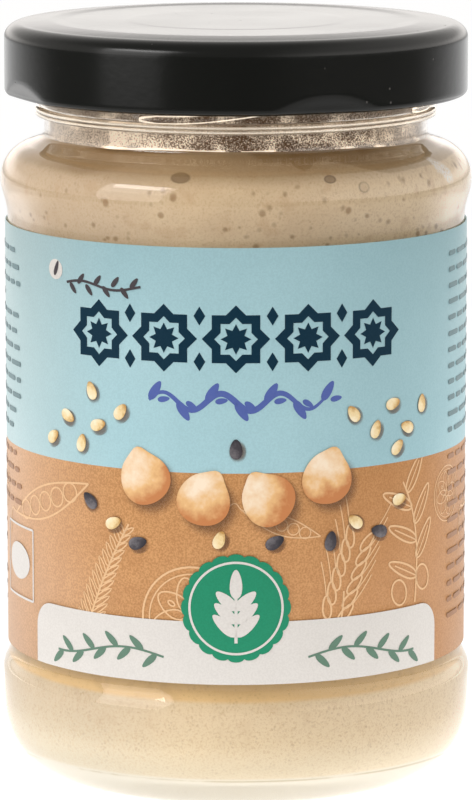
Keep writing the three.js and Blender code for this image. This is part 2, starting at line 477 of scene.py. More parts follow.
# The place and size of a painted highlight on the right shoulder.
GLINT_ANGLE = 1.13
GLINT_Z = 0.0797
GLINT_ACROSS = 0.06
GLINT_UP = 0.0015


def level(angle):
    """The height of the hummus against the glass at an angle from the front."""
    round_place = Vector((cos(angle), sin(angle), 0.3)) * FILL_WAVE_SCALE
    return FILL_Z + FILL_WAVE * noise.noise(round_place) - FILL_SAG * sin(angle) ** 2


def wall(z):
    """The radius of the inside of the glass at a height near the neck."""
    below = min(max(0, INNER_NECK_BOTTOM - z), 0.95 * INNER_NECK_ROUND)
    return INNER_NECK_R + INNER_NECK_ROUND - sqrt(INNER_NECK_ROUND ** 2 - below ** 2)


def hummus_paste():
    """Creamy beige paste, mottled and flecked, with painted light and shade: darker near the top,
    under the label's foot and along its bottom corner, paler below and on the right, hazed on the
    left, and under the neck a ring of oil and painted shade, a shadow line, painted bubbles and a
    painted highlight.
    """
    wire = new_finish("hummus_paste")
    place = wire.here()
    east, north, height = place.parts()
    angle = wire.maths("ARCTAN2", east, 0 - north)
    beside = abs(angle)
    cloud = place.grain(130, 4, 0.6)
    grain = place.grain(3600, 3, 0.7)

    # Painted light and shade: the paste is darker towards the top, where the lid shades it, and
    # paler towards the bottom, as lit from the floor below.
    low = height.until(0.004, 0.02)
    body = height.between(0.071, 0.083).tint(colour(230, 205, 170), colour(219, 192, 155))
    body = low.tint(body, colour(240, 220, 184))
    base = (cloud.between(0.3, 0.7) * 0.4).tint(body, colour(242, 220, 184))
    # Painted light: the paste is paler on the right, in place of more light from that side.
    painted_light_right = angle.band(*PAINTED_LIGHT_SIDE)
    base = (painted_light_right * 0.7).tint(base, colour(253, 232, 198))
    # Painted haze and shade: on the left the paste is greyed and dimmed, as by a veil of reflection
    # on the glass.
    painted_haze_left = angle.band(*PAINTED_HAZE_SIDE)
    haze_tone = low.tint(colour(202, 178, 153), colour(214, 207, 190))
    base = (painted_haze_left * 0.5).tint(base, haze_tone)
    grains = low.tint(colour(194, 158, 112), colour(206, 168, 112))
    base = (grain.between(0.46, 0.68) * (0.34 + low * 0.12)).tint(base, grains)
    # Painted shade: a warmer, deeper band under the label's foot, where the label shades the paste.
    base = (height.band(*LABEL_SHADE_BAND) * 0.8).tint(base, colour(238, 198, 134))

    kept = place.grain(800, 2).between(0.46, 0.62)
    flecks = place.cells(2100).until(0.2, 0.45) * kept * (0.17 + low * 0.1)
    base = flecks.tint(base, colour(168, 126, 76))
    smudge = place.grain(420, 2, 0.4)
    smudges = smudge.between(0.56, 0.72) * (0.26 - low * 0.24)
    base = smudges.tint(base, colour(196, 154, 108))
    uneven = place.grain(330, 1)
    spots = (place.cells(600) - (uneven - 0.44) * 0.9).until(-0.04, 0.2)
    spots = spots * uneven.between(0.43, 0.48) * height.band(*SPOT_BAND)
    base = (spots * 0.595).tint(base, colour(146, 102, 50))

    # Painted light: the paste's foot and underside are paler, as lit through the glass by the
    # glowing floor.
    base = (height.until(0.0045, 0.0095) * 0.4).tint(base, colour(244, 233, 208))
    base = (height.until(0.0042, 0.0046) * 0.8).tint(base, colour(244, 237, 222))
    # Painted shade: a thin darker line along the paste's bottom corner.
    corner_shade = height.band(*CORNER_SHADE_BAND) * cloud.between(0.35, 0.55)
    base = (corner_shade * 0.6).tint(base, colour(190, 170, 124))

    # Under the neck a darker olive ring is partly oil and partly painted shade of the lid and its
    # dark reflection, with a painted dark edge at its foot.
    notch = abs(angle - RING_NOTCH_ANGLE).until(0.0, 0.1)
    foot = RING_Z - RING_FALL * beside.between(0.36, 0.78) - RING_NOTCH * notch
    above = height - foot - (cloud - 0.5) * 0.0006
    sharp = above.between(-0.00012, 0.00012) * (angle + above * 40).between(0.1, 0.15)
    faint = (above + 0.0002).between(-0.0004, 0.0004) * angle.until(-1.1, -0.2)
    base = (sharp * 0.4 + faint * 0.5).tint(base, colour(142, 110, 56))
    oil_and_shade = height.between(0.0794, 0.0812) * beside.until(0.75, 1.05)
    base = (oil_and_shade * (0.35 + cloud * 0.35)).tint(base, colour(140, 104, 50))
    # Painted shadow: a thin dark line just under the paste's top, on the left.
    turn = wire.maths("SINE", angle)
    rise = height - FILL_Z + turn * turn * FILL_SAG
    level_shadow = rise.band(*LEVEL_SHADOW_BAND) * angle.band(*LEVEL_SHADOW_SIDE) * cloud.between(0.3, 0.5)
    base = (level_shadow * 0.6).tint(base, colour(104, 74, 38))

    # The bubbles are painted: each is a darker patch with a dark rim, the shade and reflection of
    # an air gap against the glass.
    for degrees, bubble_z, across, up, share in BUBBLES:
        aside = (angle - radians(degrees)) * (INNER_SHOULDER_R / across)
        above = (height - bubble_z) / up
        away = (aside * aside + above * above) ** 0.5 + (cloud - 0.5) * 0.5
        inside = away.until(0.8, 1.1)
        edge = away.between(0.5, 0.9) * inside
        base = (inside * share).tint(base, colour(136, 110, 76))
        base = (edge * cloud.between(0.3, 0.5) * 0.5).tint(base, colour(104, 76, 44))
    # Painted highlight: a bright grainy patch on the right shoulder stands in for glints of light.
    above = (height - GLINT_Z) / GLINT_UP
    aside = (angle - GLINT_ANGLE) / GLINT_ACROSS + above * 0.6
    away = (aside * aside + above * above) ** 0.5 + (smudge - 0.5) * 1.6
    glints = away.until(0.5, 1.1) * (0.2 + grain.between(0.42, 0.52) * 0.8)
    base = glints.tint(base, colour(255, 250, 244))
    return coated(
        wire, base, 0.55, Specular_IOR_Level=0.2, Normal=grain.relief(0.2, 0.0002)
    )


rim_rows = [FILL_FOOT + (FILL_Z - FILL_FOOT) * i / 8 for i in range(1, 9)]
fill = spun([
    *[p for p in cavity(PRESS, 60) if p[1] < FILL_FOOT],
    *[(wall(z) + PRESS, z) for z in rim_rows],
    *straight((wall(FILL_Z) + PRESS, FILL_Z), (0, FILL_Z), 30), (0, FILL_Z),
], HUMMUS_SIDES)
for point in fill.verts:
    angle, radius = bearing(point.co), point.co.xy.length
    if point.co.z > FILL_Z - HAIR and radius < wall(FILL_Z) + PRESS - HAIR:
        share = radius / wall(FILL_Z)
        lumps = noise.noise(point.co * FILL_LUMP_SCALE) * FILL_LUMP * (1 - share ** 8)
        point.co.z = FILL_Z + (level(angle) - FILL_Z) * share + lumps
    elif point.co.z > FILL_FOOT:
        share = (point.co.z - FILL_FOOT) / (FILL_Z - FILL_FOOT)
        point.co.z += (level(angle) - FILL_Z) * share
        point.co.xy *= (wall(point.co.z) + PRESS) / radius
placed(fill, "hummus_fill", [hummus_paste()], "hummus")

# Above its level the hummus has left a wet, grainy smear on the inside of the neck. A pale line
# painted bright at its foot stands in for a glint of light. It is a broken film of paste and oil
# drops that wets the glass, and it is thin at the back, so that light comes through it.
SMEAR_TOP = LIP_TOP - 0.0015
SMEAR_PRESS = 0.00014
SMEAR_SKIN = 0.00002
CLEAR_BAND = (0.0863, 0.0864, 0.0875, 0.0877)
LINE_HIGH = 0.00028
FRONT_LINE = (-0.8, -0.72, 0.2, 0.215)
LINE_BREAK = (-0.06, -0.05, 0.02, 0.03)
SIDE_LINE = (0.4, 0.5, 1.15, 1.25)
SMEAR_SETTLE = 0.0019
SMEAR_SIDES = 320


def wet_smear():
    """Brown film, pale and dark in fine grains, with clear stretches behind the bead, painted paler
    at the sides and darker above the bead, with a painted bright line at its foot and pale grains
    that glow.
    """
    wire = new_finish("wet_smear")
    place = wire.here()
    east, north, height = place.parts()
    angle = wire.maths("ARCTAN2", east, 0 - north)
    grain = place.grain(5200, 2, 0.75)
    blotch = place.grain(300, 3)
    rise = wire.node("Attribute", {"attribute_name": "rise"}, output=2)

    # Painted reflection: the film is paler at the sides, most on the left, as a haze of light on
    # the glass.
    west = angle.until(-0.75, -0.3)
    beside = wire.maths("MAXIMUM", west, angle.between(0.65, 1.0) * 0.8)
    pale = (grain + (blotch - 0.5) * 0.3 + beside * 0.07).between(0.46, 0.58)
    base = pale.tint(colour(122, 86, 52), colour(255, 240, 222))
    base = (beside * 0.6).tint(base, colour(216, 198, 180))
    # Painted shade: the film is darker above the bead, under the lid.
    base = (height.between(0.0872, 0.0882) * 0.75).tint(base, colour(112, 84, 58))

    # Painted highlight: a bright broken line at the film's foot, with torn stretches at the sides,
    # stands in for a glint of light.
    front = angle.band(*FRONT_LINE) * (1 - angle.band(*LINE_BREAK))
    torn = (blotch + (grain - 0.5) * 0.5).between(0.5, 0.58)
    aside = angle.band(*SIDE_LINE) * torn
    line = (rise - blotch * LINE_HIGH * (1.9 + west * 0.7)).until(-0.00004, 0.00004)
    shown = line * (front + aside * 0.8)
    base = shown.tint(base, colour(255, 240, 222))

    clear = height.band(*CLEAR_BAND)
    dense = wire.maths("MAXIMUM", (0.75 + pale * 0.2) * (1 - clear * 0.85), shown)
    dense = dense * (1 - north.between(-0.0075, -0.003) * 0.85)
    # Painted glints: the pale grains and the line at the foot glow, though they are no lamp.
    shine = (pale * (0.12 + blotch.between(0.5, 0.62) * 0.3) + shown * 0.5) * (1 - clear)
    return coated(
        wire, base, 0.4, Specular_IOR_Level=0.2, Alpha=dense, Emission_Strength=1.0,
        Emission_Color=shine.tint(BLACK, colour(255, 236, 210)), Normal=grain.relief(0.5, 0.0002),
    )


smear_rows = [FILL_Z, FILL_Z + LINE_HIGH]
smear_rows += [FILL_Z + 0.0004 + 0.0002 * i for i in range(8)] + [SMEAR_TOP]
outer_side = [(wall(z) + SMEAR_PRESS, z) for z in smear_rows]
inner_side = [(wall(z) + SMEAR_SKIN, z) for z in reversed(smear_rows)]
smear = spun([*outer_side, *inner_side, outer_side[0]], SMEAR_SIDES)
rise_map = smear.verts.layers.float.new("rise")
for point in smear.verts:
    rise, radius = point.co.z - FILL_Z, point.co.xy.length
    point[rise_map] = rise
    if rise < SMEAR_SETTLE:
        skin = radius - wall(point.co.z)
        sag = level(bearing(point.co)) - FILL_Z
        point.co.z += sag * min(1, (SMEAR_SETTLE - rise) / (SMEAR_SETTLE - LINE_HIGH))
        point.co.xy *= (wall(point.co.z) + skin) / radius
placed(smear, "neck_smear", [wet_smear()])

# The lid is pressed tinplate with black enamel outside and a gold lacquer inside. Its top is
# stepped: a raised ring over the glass lip, a sunk panel and a round button. The skirt's edge is
# rolled in, and four dents show where its lugs are pressed.
lid_low, lid_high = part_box("screw_lid")
LID_R = lid_high.x
LID_TOP = lid_high.z
LID_BOTTOM = lid_low.z
LID_SHEET = 0.0004
LID_EDGE_ROUND = 0.0022
RIM_INNER_R = 0.0229
PANEL_DROP = 0.00015
BUTTON_R = 0.0142
BUTTON_RISE = 0.00004
BUTTON_STEP = 0.0016
LID_STEP = 0.0026
CROWN_FALL = 0.00034
CURL_R = 0.00075
SEAL_Z = LIP_TOP + 0.00012
SEAL_INNER_R = 0.0239
SEAL_OUTER_R = 0.026
SEAL_THICK = 0.0003
SEAL_INNER_EASE = 0.0004
SEAL_OUTER_EASE = 0.0006
LINING_STEP = 0.0008
SHEET_SKIN = 0.0001
LUGS = 4
LUG_FROM_FRONT = radians(22.7)
LUG_HALF_WIDTH = radians(13)
LUG_DEPTH = 0.0006
LUG_TOP = 0.0912
LUG_FADE_LOW = 0.0004
LUG_FADE_HIGH = 0.0006
LID_SIDES = 256


def black_enamel():
    """Satin black stoving enamel with the faint orange peel and dust of a used lid."""
    wire = new_finish("black_enamel")
    place = wire.here()
    cloud = place.grain(60, 3)
    specks = place.cells(330).until(0.035, 0.06) * cloud.between(0.5, 0.6)
    base = specks.tint(colour(7, 9, 6), colour(70, 68, 65))
    return coated(
        wire, base, 0.17 + cloud * 0.06 + specks * 0.3, IOR=1.4,
        Normal=place.grain(900, 2).relief(0.05, 0.0002),
    )


def lid_lacquer():
    """Gold lacquer on the inside of the lid, and its soft sealing ring."""
    wire = new_finish("lid_lacquer")
    base = wire.here().grain(120, 2).tint(colour(186, 148, 98), colour(200, 164, 114))
    return coated(wire, base, 0.4)


def soft_step(value, low, high):
    """A smooth step from 0 at low to 1 at high."""
    t = min(1, max(0, (value - low) / (high - low)))
    return t * t * (3 - 2 * t)


def lug_dent(angle, z):
    """How deep the dent of a lug is at an angle from the front and a height."""
    step = tau / LUGS
    away = (angle - LUG_FROM_FRONT + step / 2) % step - step / 2
    across = max(0, 1 - (away / LUG_HALF_WIDTH) ** 2)
    top = LID_BOTTOM + (LUG_TOP - LID_BOTTOM) * across
    painted_side_light = soft_step(z, LID_BOTTOM + LUG_FADE_LOW, top + LUG_FADE_HIGH)
    return LUG_DEPTH * across * (1 - painted_side_light)


round_r, round_z = LID_R - LID_EDGE_ROUND, LID_TOP - LID_EDGE_ROUND
inner, under = LID_R - LID_SHEET, LID_TOP - LID_SHEET
panel_z, panel_r = LID_TOP - PANEL_DROP, RIM_INNER_R - LID_STEP / 2
button_z = panel_z + BUTTON_RISE
button_in, button_out = BUTTON_R - BUTTON_STEP / 2, BUTTON_R + BUTTON_STEP / 2
crown_r = RIM_INNER_R + LID_STEP / 2
crown_wide = round_r - crown_r
crown = [1 - i / 8 for i in range(8)]
curl_r, curl_z = LID_R - CURL_R, LID_BOTTOM + CURL_R
seal_z = SEAL_Z + SEAL_THICK
lining = [
    (0, button_z - LID_SHEET),
    *ease((button_in, button_z - LID_SHEET), (button_out, panel_z - LID_SHEET), 5),
    (panel_r + LINING_STEP, panel_z - LID_SHEET),
    *arc(SEAL_INNER_R, seal_z, SEAL_INNER_EASE, SEAL_THICK, 180, 270, 4),
    *arc(SEAL_OUTER_R, seal_z, SEAL_OUTER_EASE, SEAL_THICK, 270, 360, 4),
    (SEAL_OUTER_R + LINING_STEP, under),
    *arc(round_r, round_z, inner - round_r, under - round_z, 90, 0, 8),
    *straight((inner, round_z), (inner, curl_z + 0.001), 16),
]
enamelled = [
    *arc(curl_r, curl_z, CURL_R, CURL_R, 100, 360, 18),
    *straight((LID_R, curl_z), (LID_R, round_z), 20),
    *arc(round_r, round_z, LID_EDGE_ROUND, LID_EDGE_ROUND - CROWN_FALL, 0, 84, 18),
    *[(crown_r + crown_wide * s, LID_TOP - CROWN_FALL * s * (0.7 + 0.3 * s)) for s in crown],
    *ease((crown_r, LID_TOP), (panel_r, panel_z), 14),
    *straight((panel_r, panel_z), (button_out, panel_z), 5),
    *ease((button_out, panel_z), (button_in, button_z), 10),
    *straight((button_in, button_z), (0, button_z), 8),
    (0, button_z),
]
lid = spun(lining + enamelled, LID_SIDES)
for face in lid.faces:
    middle = face.calc_center_median()
    outer_side = middle.z > under + SHEET_SKIN or middle.xy.length > inner + SHEET_SKIN
    top_side = face.normal.z > 0.5 and middle.z > SEAL_Z - 0.0005
    face.material_index = 0 if outer_side or top_side or middle.z < curl_z + CURL_R else 1
for point in lid.verts:
    radius = point.co.xy.length
    if radius > inner - 3 * CURL_R and point.co.z < LUG_TOP:
        point.co.xy *= 1 - lug_dent(bearing(point.co), point.co.z) / radius
placed(lid, "twist_lid", [black_enamel(), lid_lacquer()], "screw_lid")

# The label is satin coated paper, printed in pale blue over tan, wrapped round the panel and
# glued. Its two ends stop short of each other at the back. Its colours are painted deeper on the
# right, as shade, and paler on the left, as a sheen of the lamps' light.
label_low, label_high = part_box("label")
LABEL_R = label_high.x
LABEL_FOOT = label_low.z
LABEL_TOP = label_high.z
LABEL_THICKNESS = 0.0002
LABEL_GAP = tau / 28
LABEL_SIDES = 360
FIELD_EDGE = 0.0272
PALE_BLUE = colour(171, 209, 217)
TAN = colour(208, 155, 102)
# The tone of the painted sheen, and where the painted sheen and shade run across the jar.
SHEEN_TONE = colour(240, 214, 192)
SHEEN_WEST = (-0.03, -0.013)
SHADE_EAST = (0.004, 0.02)


def printed_paper(name, ink, mottle=0.06, shade=colour(90, 70, 50), gloss=0.25, painted_side_light=0.0):
    """Satin paper under one ink, with its fine tooth and an uneven lay of colour, and where asked a
    painted shade on the right and a painted sheen on the left.
    """
    wire = new_finish(name)
    place = wire.here()
    tooth = place.grain(4200, 1)
    base = (place.grain(240, 5, 0.65).between(0.35, 0.75) * mottle).tint(ink, shade)
    base = (tooth.between(0.35, 0.65) * mottle * 2.2).tint(base, shade)
    # Painted light: darker to the right as shade, paler to the left as a sheen of the lamps' light.
    if painted_side_light:
        east = place.parts()[0]
        base = (east.between(*SHADE_EAST) * painted_side_light).tint(base, shade)
        base = (east.until(*SHEEN_WEST) * painted_side_light * 0.6).tint(base, SHEEN_TONE)
    return coated(
        wire, base, 0.34 + tooth * 0.12, Specular_IOR_Level=gloss,
        Normal=tooth.relief(0.12, 0.00005),
    )


paper = bmesh.new()
inner_paper = LABEL_R - LABEL_THICKNESS
corners = [
    (inner_paper, LABEL_FOOT), (LABEL_R, LABEL_FOOT), (LABEL_R, LABEL_FOOT + FIELD_EDGE),
    (LABEL_R, LABEL_TOP), (inner_paper, LABEL_TOP),
]
edge_points = [paper.verts.new((r, 0, z)) for r, z in corners]
edge_lines = [paper.edges.new(pair) for pair in zip(edge_points, edge_points[1:] + edge_points[:1])]
start = Matrix.Rotation(pi / 2 + LABEL_GAP / 2, 4, "Z")
bmesh.ops.transform(paper, matrix=start, verts=paper.verts)
paper.faces.new(edge_points)
bmesh.ops.spin(
    paper, geom=edge_points + edge_lines, cent=(0, 0, 0), axis=(0, 0, 1),
    angle=tau - LABEL_GAP, steps=LABEL_SIDES, use_merge=False, use_duplicate=False,
)
bmesh.ops.holes_fill(paper, edges=[e for e in paper.edges if e.is_boundary], sides=5)
bmesh.ops.recalc_face_normals(paper, faces=paper.faces)
for face in paper.faces:
    face.material_index = 1 if face.calc_center_median().z < LABEL_FOOT + FIELD_EDGE else 0
# The blue and tan fields carry the painted shade and sheen.
blue_paper = printed_paper("blue_paper", PALE_BLUE, 0.08, colour(128, 168, 178), painted_side_light=0.26)
tan_paper = printed_paper("tan_paper", TAN, 0.3, colour(172, 118, 68), painted_side_light=0.4)
placed(paper, "label_paper", [blue_paper, tan_paper], "label")

# The print is laid on the flat sheet before it is wrapped: each ink is drawn flat, u to the right
# from the front and v up from the foot, cut into strips and bent round the paper.
INK_LIFT = 0.00003
STRIP = 0.0012
FACING = Matrix.Rotation(pi / 2, 4, "X")


def at(u, v, turn=0.0, size=1.0):
    """The place of a motif that is drawn about the origin, turned and scaled there."""
    place = Matrix.Translation((u, 0, v)) @ FACING
    return place @ Matrix.Rotation(turn, 4, "Z") @ Matrix.Scale(size, 4)


def within(place, u, v, turn=0.0):
    """A place inside a motif, measured and turned from the motif's own place."""
    return place @ Matrix.Translation((u, v, 0)) @ Matrix.Rotation(turn, 4, "Z")


def polar(r, angle):
    """A point of an outline at a distance and an angle from its middle."""
    return r * cos(angle), r * sin(angle)


def blot(bm, place, sides, outline):
    """A filled patch of ink whose edge is outline(angle), with its own flat map."""
    points = bmesh.ops.create_circle(bm, cap_ends=True, segments=sides, radius=1)["verts"]
    flat_map = bm.loops.layers.uv.verify()
    for i, point in enumerate(points):
        point.co.xy = outline(tau * i / sides)
    for face in {face for point in points for face in point.link_faces}:
        for loop in face.loops:
            loop[flat_map].uv = loop.vert.co.xy
    bmesh.ops.transform(bm, matrix=place, verts=points)


def stroke(bm, place, path, width, steps, swell=0.0):
    """A line of ink along path(t), t from 0 to 1, wider by swell in its middle."""
    points = bmesh.ops.create_grid(bm, x_segments=steps, y_segments=1, size=0.5)["verts"]
    for point in points:
        t, side = point.co.x + 0.5, point.co.y
        here = Vector(path(t))
        along = Vector(path(min(1, t + 0.01))) - Vector(path(max(0, t - 0.01)))
        wide = (width + swell * sin(pi * t)) * side
        across = Vector((-along.y, along.x)).normalized() * wide
        point.co = (*(here + across), 0)
    bmesh.ops.transform(bm, matrix=place, verts=points)


def wrapped(bm, name, layer, finish):
    """Cuts flat ink into strips, bends it round the paper and lifts it clear of what is below."""
    reach = max(abs(point.co.x) for point in bm.verts)
    cuts = ceil(reach / STRIP)
    for i in range(-cuts, cuts + 1):
        everything = bm.verts[:] + bm.edges[:] + bm.faces[:]
        bmesh.ops.bisect_plane(
            bm, geom=everything, dist=1e-7, plane_co=(i * STRIP, 0, 0), plane_no=(1, 0, 0)
        )
    radius = LABEL_R + layer * INK_LIFT
    for point in bm.verts:
        angle = point.co.x / LABEL_R
        point.co = (radius * sin(angle), -radius * cos(angle), LABEL_FOOT + point.co.z)
    bm.normal_update()
    turned_in = [f for f in bm.faces if f.normal.xy.dot(f.calc_center_median().xy) < 0]
    bmesh.ops.reverse_faces(bm, faces=turned_in)
    placed(bm, name, [finish])


# Cream line drawings of kitchen plants are spread over the tan field, all round the jar: an olive
# sprig, a slice of lemon, an ear of wheat, a pod with its peas and a sprig of rosemary. They are
# printed in one thin ink, a row of large ones and some small ones between them.
CREAM = colour(234, 192, 146)
PEN = 0.00026
SPRIG_PITCH = 0.0158
OLIVE_STEM = 0.016
LEMON_R = 0.0066
LEMON_FLESH_R = 0.0057
WHEAT_STEM = 0.011
WHEAT_GRAIN = 0.003
POD_LONG = 0.018
ROSEMARY_LONG = 0.018


def hoop(bm, place, sides, outline, width):
    """A closed line of ink round outline(angle)."""
    stroke(bm, place, lambda t: outline(tau * t), width, sides)


def oval(across, up):
    """The outline of an oval."""
    return lambda angle: (across * cos(angle), up * sin(angle))


def leaf(length, width):
    """The outline of a leaf, from its stalk at the origin to its tip."""
    def outline(angle):
        along = 0.5 - 0.5 * cos(angle)
        side = sin(angle) * (1 - 0.35 * along)
        return length * along, 0.5 * width * side

    return outline


def olive_sprig(bm, place):
    """A bent stem with slim leaves and two olives."""
    def stem(t):
        return 0.003 * sin(2.2 * t), OLIVE_STEM * t

    stroke(bm, place, stem, PEN, 16)
    for i in range(6):
        side = 1 if i % 2 else -1
        twig = within(place, *stem(0.2 + 0.14 * i), pi / 2 - side * 0.85)
        hoop(bm, twig, 22, leaf(0.0056, 0.0019), PEN)
        stroke(bm, twig, lambda t: (0.0045 * t, 0), PEN * 0.7, 3)
    for side in (-1, 1):
        hoop(bm, within(place, 0.0024 * side, 0.0025), 20, oval(0.0013, 0.0017), PEN)


def lemon_slice(bm, place):
    """A slice of lemon with its rind, segments and a few pips."""
    hoop(bm, place, 44, oval(LEMON_R, LEMON_R), PEN)
    hoop(bm, place, 40, oval(LEMON_FLESH_R, LEMON_FLESH_R), PEN * 0.7)
    for i in range(8):
        wedge = within(within(place, 0, 0, tau * i / 8), 0.0007, 0)
        hoop(bm, wedge, 20, leaf(0.0046, 0.0036), PEN * 0.8)
        if i % 3 == 0:
            hoop(bm, within(wedge, 0.0026, 0), 10, oval(0.0005, 0.00028), PEN * 0.8)


def wheat_ear(bm, place):
    """An ear of wheat: grains in pairs up a stem, with long awns."""
    def awn(t):
        return WHEAT_GRAIN + 0.0045 * t, 0.0004 * t * t

    stroke(bm, place, lambda t: (0.0012 * sin(3 * t), WHEAT_STEM * t), PEN, 10)
    for i in range(6):
        for side in (-1, 1):
            grain = within(place, 0.0008 * side, 0.007 + 0.0019 * i, pi / 2 - side * 0.42)
            hoop(bm, grain, 14, leaf(WHEAT_GRAIN, 0.0014), PEN)
            stroke(bm, grain, awn, PEN * 0.6, 4)


def pea_pod(bm, place):
    """An open pod with five peas and a curled stalk."""
    for bulge in (0.0017, -0.0024):
        stroke(bm, place, lambda t: (POD_LONG * t, bulge * sin(pi * t)), PEN, 18)
    for i in range(5):
        hoop(bm, within(place, 0.0036 + 0.0027 * i, -0.0003), 16, oval(0.00125, 0.00125), PEN * 0.9)
    stroke(bm, place, lambda t: (-0.004 * t, 0.0022 * sin(4.5 * t) * t), PEN, 12)


def rosemary(bm, place):
    """A sprig of rosemary with short needles."""
    def stem(t):
        return 0.002 * t * t, ROSEMARY_LONG * t

    stroke(bm, place, stem, PEN, 12)
    for i in range(13):
        t = 0.12 + 0.066 * i
        for side in (-1, 1):
            needle = within(place, *stem(t), pi / 2 - side * 0.7)
            hoop(bm, needle, 8, leaf(0.0036 * (1 - 0.55 * t), 0.0007), PEN * 0.7)


SPRIGS = [
    (lemon_slice, 0.0085, 0.2), (wheat_ear, 0.0012, -0.35), (olive_sprig, 0.0085, 0.3),
    (pea_pod, 0.0185, 0.35), (rosemary, 0.0035, -0.3),
]
SMALL_SPRIGS = {lemon_slice: (0.15, 0.0215, 0.2, 0.55), pea_pod: (0.05, 0.0225, -0.35, 0.6)}
sprigs = bmesh.new()
for i in range(-5, 6):
    kind, foot, turn = SPRIGS[i % len(SPRIGS)]
    kind(sprigs, at((i - 0.35) * SPRIG_PITCH, foot, turn))
for i in range(-5, 6):
    kind = SPRIGS[(i + 3) % len(SPRIGS)][0]
    if kind in SMALL_SPRIGS:
        shift, foot, turn, size = SMALL_SPRIGS[kind]
        kind(sprigs, at((i + shift) * SPRIG_PITCH, foot, turn, size))
for corner in sprigs.verts:
    corner.co.z = min(max(corner.co.z, 0), FIELD_EDGE)
wrapped(sprigs, "cream_sprigs", 1, printed_paper("cream_ink", CREAM, 0.03))

# A white tab with rounded top corners lies across the foot of the label's front, and carries a
# green spray of leaves on either side of a scalloped badge. Each is one flat ink.
TAB_HALF = 0.0306
TAB_HEIGHT = 0.0081
TAB_CORNER = 0.0033
GREEN = colour(32, 140, 104)
SPRAY_GREEN = colour(98, 132, 114)
SPRAY_START = 0.0093
SPRAY_LONG = 0.0165
BADGE_V = 0.0099
BADGE_R = 0.007
BADGE_RING_R = BADGE_R - 0.0011
BADGE_SCALLOPS = 20
SCALLOP_DEEP = 0.00035


def white_ink():
    return printed_paper("white_ink", colour(220, 216, 211), 0.03)


tab = bmesh.new()
tab_points = bmesh.ops.create_grid(tab, x_segments=1, y_segments=1, size=1)["verts"]
for point in tab_points:
    point.co.x *= TAB_HALF
    point.co.y = TAB_HEIGHT if point.co.y > 0 else 0
bmesh.ops.bevel(
    tab, geom=[point for point in tab_points if point.co.y > 0], affect="VERTICES",
    offset=TAB_CORNER, segments=10, profile=0.5, material=-1,
)
bmesh.ops.transform(tab, matrix=at(0, 0), verts=tab.verts)
wrapped(tab, "white_tab", 2, white_ink())

spray = bmesh.new()
for side in (-1, 1):
    def stem(t, side=side):
        return side * (SPRAY_START + SPRAY_LONG * t), 0.0033 + 0.0009 * sin(5 * t)

    stroke(spray, at(0, 0), stem, 0.00028, 24)
    for i in range(9):
        lean = 0.75 if i % 2 else -0.75
        turn = lean if side > 0 else pi - lean
        blot(spray, at(*stem(0.06 + 0.11 * i), turn), 14, leaf(0.0026, 0.0011))
wrapped(spray, "green_sprays", 3, printed_paper("spray_ink", SPRAY_GREEN, 0.05))


def badge_edge(angle):
    """The scalloped outline of the badge."""
    bow = abs(cos(BADGE_SCALLOPS * angle / 2)) ** 0.6
    return polar(BADGE_R - SCALLOP_DEEP + SCALLOP_DEEP * bow, angle)


badge = bmesh.new()
blot(badge, at(0, BADGE_V), 8 * BADGE_SCALLOPS, badge_edge)
wrapped(badge, "green_badge", 4, printed_paper("green_ink", GREEN, 0.08, colour(20, 110, 80)))

badge_leaves = bmesh.new()
hoop(badge_leaves, at(0, BADGE_V), 80, oval(BADGE_RING_R, BADGE_RING_R), 0.0003)
stroke(badge_leaves, at(0, BADGE_V - 0.0045), lambda t: (0, 0.0062 * t), 0.0004, 4)
blot(badge_leaves, at(0, BADGE_V + 0.0012, pi / 2), 20, leaf(0.0038, 0.0019))
for i in range(3):
    for turn in (0.75, pi - 0.75):
        foot = BADGE_V - 0.0036 + 0.0017 * i
        blot(badge_leaves, at(0, foot, turn), 20, leaf(0.0040 - 0.0003 * i, 0.0018))
wrapped(badge_leaves, "badge_leaves", 5, white_ink())

# Across the upper front stands a row of navy eight-pointed stars, each a ring round a small star,
# with lozenges between them. They are one flat, slightly matt ink.
NAVY = colour(8, 45, 63)
STARS = 5
STAR_PITCH = 0.0092
STAR_R = 0.0043
STAR_V = 0.0443
STAR_NOTCH = 0.765
STAR_RING = 0.0011
SMALL_STAR_R = STAR_R * 0.45
SMALL_STAR_NOTCH = 0.6
LOZENGE_V = 0.0029
LOZENGE_HIGH = 0.0012
LOZENGE_SHARE = 0.62


def star(radius, notch):
    """The outline of an eight-pointed star for blot, with 16 sides."""
    def outline(angle):
        tip = round(angle / tau * 16) % 2 == 0
        return polar(radius if tip else radius * notch, angle)

    return outline


stars = bmesh.new()
for i in range(STARS):
    middle = at((i - (STARS - 1) / 2) * STAR_PITCH, STAR_V)
    before = set(stars.faces)
    blot(stars, middle, 16, star(STAR_R, STAR_NOTCH))
    filled = [face for face in stars.faces if face not in before]
    bmesh.ops.inset_region(
        stars, faces=filled, thickness=STAR_RING, use_boundary=True, use_even_offset=True
    )
    bmesh.ops.delete(stars, geom=filled, context="FACES_ONLY")
    blot(stars, middle, 16, star(SMALL_STAR_R, SMALL_STAR_NOTCH))
for i in range(STARS - 1):
    u = (i - (STARS - 2) / 2) * STAR_PITCH
    for v in (-LOZENGE_V, LOZENGE_V):
        blot(stars, at(u, STAR_V + v, 0, LOZENGE_HIGH), 4, oval(LOZENGE_SHARE, 1))
wrapped(stars, "navy_stars", 1, printed_paper("navy_ink", NAVY, 0.08, colour(24, 58, 78), 0.12))

